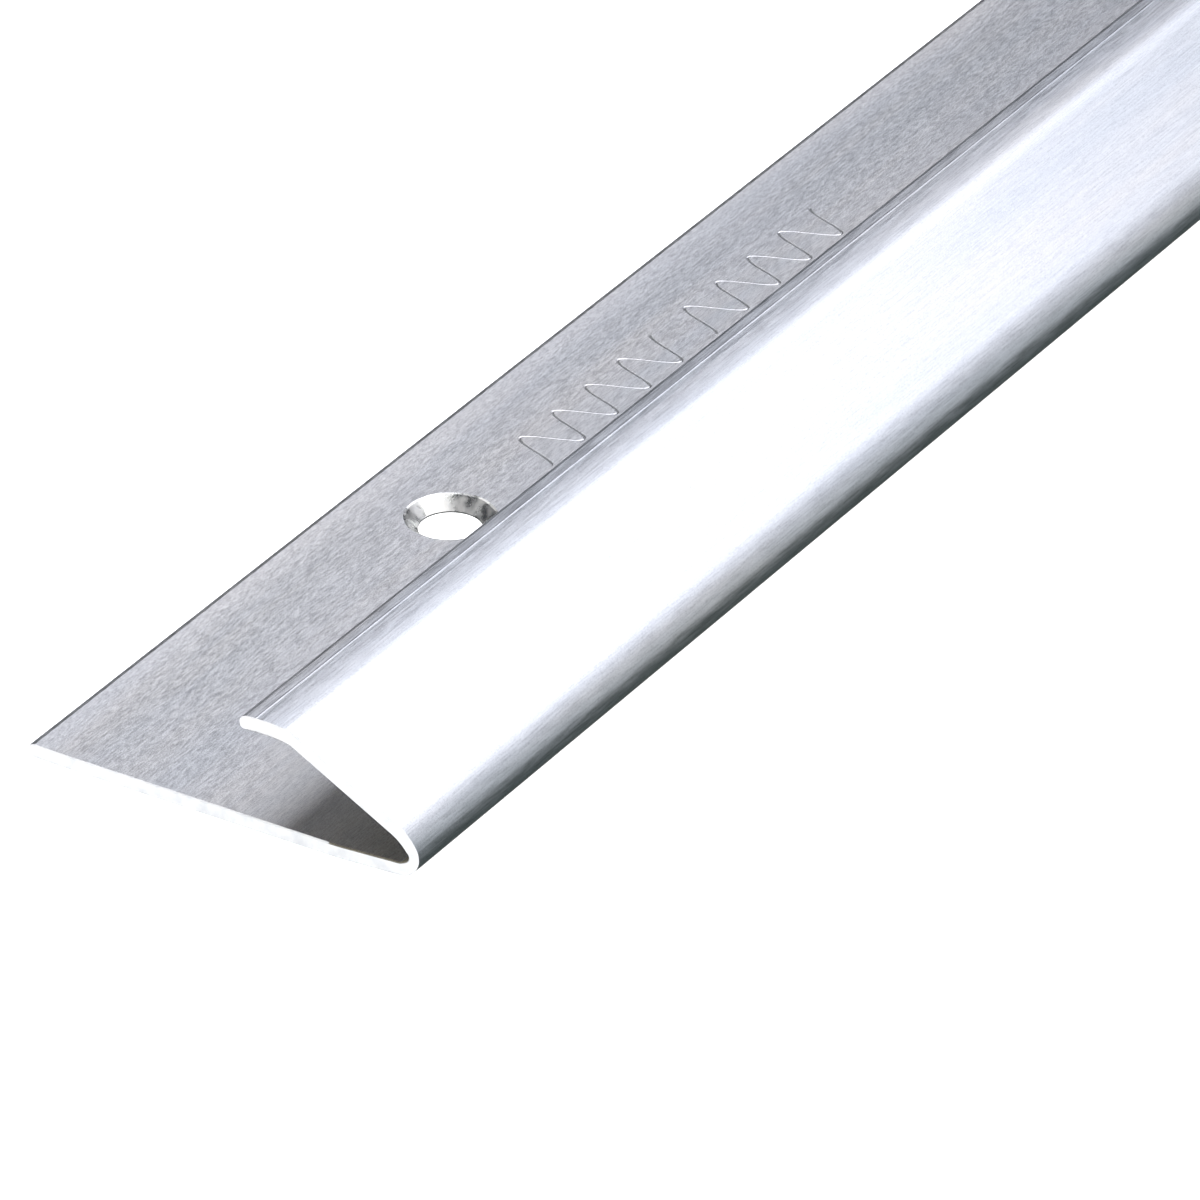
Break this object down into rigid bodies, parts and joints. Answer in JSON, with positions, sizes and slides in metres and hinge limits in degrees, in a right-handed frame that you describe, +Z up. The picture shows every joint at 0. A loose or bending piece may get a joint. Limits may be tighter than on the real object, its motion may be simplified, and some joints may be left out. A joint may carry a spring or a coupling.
{
  "type": "carpet threshold strip",
  "caption": "Folded brushed-steel edging strip: a flat countersunk flange under a sloping cover leaf that traps a carpet's edge.",
  "frame": {"origin": "On the floor, at the middle of the strip's length and width.", "axes": "+X runs along the strip, +Y runs across it from the folded hem to the flange's free edge, +Z is up."},
  "size_m": [0.9, 0.03, 0.0085],
  "materials": {
    "brushed_steel": "brushed along the length"
  },
  "bodies": {
    "root": {"edge_strip": "brushed_steel"}
  },
  "joints": []
}
